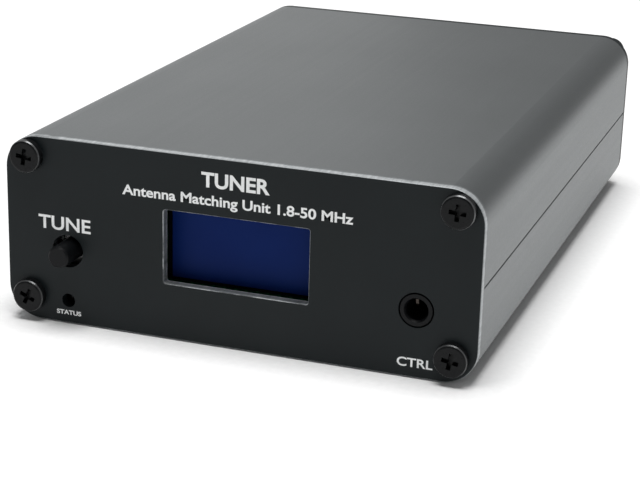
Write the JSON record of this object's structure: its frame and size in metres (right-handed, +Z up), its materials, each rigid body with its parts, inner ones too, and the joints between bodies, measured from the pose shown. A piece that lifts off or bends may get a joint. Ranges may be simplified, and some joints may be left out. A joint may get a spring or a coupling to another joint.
{
  "type": "antenna tuner",
  "caption": "Automatic antenna tuner in a flat split metal case with a display window, push button, status lamp, control jack and rear radio sockets.",
  "frame": {"origin": "on the supporting surface under the middle of the case, halfway between the two end panels", "axes": "+X to the right seen from the front, +Y from the front panel to the rear sockets, +Z up"},
  "size_m": [0.081, 0.1379, 0.0316],
  "materials": {
    "case_grey": "satin anodised, fine blasted texture",
    "panel_black": "black anodised faces, bare cut edges",
    "screw_black": "black oxide",
    "board_green": "solder mask",
    "glass_dark": "polished",
    "film_blue": "clear blue film",
    "ribbon_amber": "polyimide film",
    "plastic_black": "moulded",
    "button_black": "moulded",
    "lamp_clear": "clear resin",
    "tin_plate": "tinned",
    "steel_plate": "stamped",
    "nickel_plate": "nickel plate",
    "ptfe_white": "turned",
    "gold_brass": "gold plate",
    "copper_wire": "enamelled copper",
    "core_red": "coated iron powder",
    "ferrite_grey": "ferrite",
    "relay_white": "moulded",
    "ceramic_tan": "ceramic",
    "cell_wrap": "shrink sleeve"
  },
  "bodies": {
    "tuner": {"case_bottom": "case_grey", "case_top": "case_grey", "front_panel": "panel_black", "rear_panel": "panel_black", "front_screws": "screw_black", "rear_screws": "screw_black", "main_board": "board_green", "display_glass": "glass_dark", "display_film": "film_blue", "display_board": "board_green", "display_ribbon": "ribbon_amber", "display_header": "plastic_black", "switch_body": "plastic_black", "switch_bracket": "steel_plate", "switch_dome": "steel_plate", "status_lamp": "lamp_clear", "status_lamp_legs": "tin_plate", "charge_lamp": "lamp_clear", "charge_lamp_legs": "tin_plate", "control_jack": "plastic_black", "control_jack_contacts": "tin_plate", "radio_socket_shell": "nickel_plate", "radio_socket_insulator": "ptfe_white", "radio_socket_contact": "gold_brass", "radio_socket_washer": "nickel_plate", "radio_socket_nut": "nickel_plate", "radio_socket_lead": "tin_plate", "antenna_socket_shell": "nickel_plate", "antenna_socket_insulator": "ptfe_white", "antenna_socket_contact": "gold_brass", "antenna_socket_washer": "nickel_plate", "antenna_socket_nut": "nickel_plate", "antenna_socket_lead": "tin_plate", "usb_socket_shell": "steel_plate", "usb_socket_tongue": "plastic_black", "ground_post": "nickel_plate", "ground_hex_nut": "nickel_plate", "battery_cell": "cell_wrap", "battery_holder": "plastic_black", "battery_contacts": "steel_plate", "inductor_relays": "relay_white", "capacitor_relays": "relay_white", "side_relay": "relay_white", "inductor_cores": "core_red", "inductor_windings": "copper_wire", "air_coils": "copper_wire", "tuning_capacitors": "ceramic_tan", "coupler_core": "ferrite_grey", "coupler_wires": "copper_wire", "microcontroller": "plastic_black", "charger_chip": "plastic_black", "power_choke": "ferrite_grey", "small_parts": "ceramic_tan"},
    "tune_button": {"tune_button": "button_black"},
    "post_washer": {"ground_washer": "nickel_plate"},
    "thumb_nut": {"ground_thumb_nut": "nickel_plate"}
  },
  "joints": [
    {"name": "tune_button_press", "type": "slide", "parent": "tuner", "child": "tune_button", "axis": [0, 1, 0], "range_m": [0, 0.00025], "stiffness_N_per_m": 1000, "springref_m": -0.0005},
    {"name": "post_washer_slide", "type": "slide", "parent": "tuner", "child": "post_washer", "axis": [0, 1, 0], "range_m": [0, 0.0028]},
    {"name": "thumb_nut_turn", "type": "hinge", "parent": "post_washer", "child": "thumb_nut", "pos_m": [0, 0.0664, 0.022], "axis": [0, 1, 0], "range_deg": [0, 1440]}
  ],
  "couplings": [
    {"joint": "thumb_nut_turn", "follows": "post_washer_slide", "rad_per_m": 8976}
  ]
}
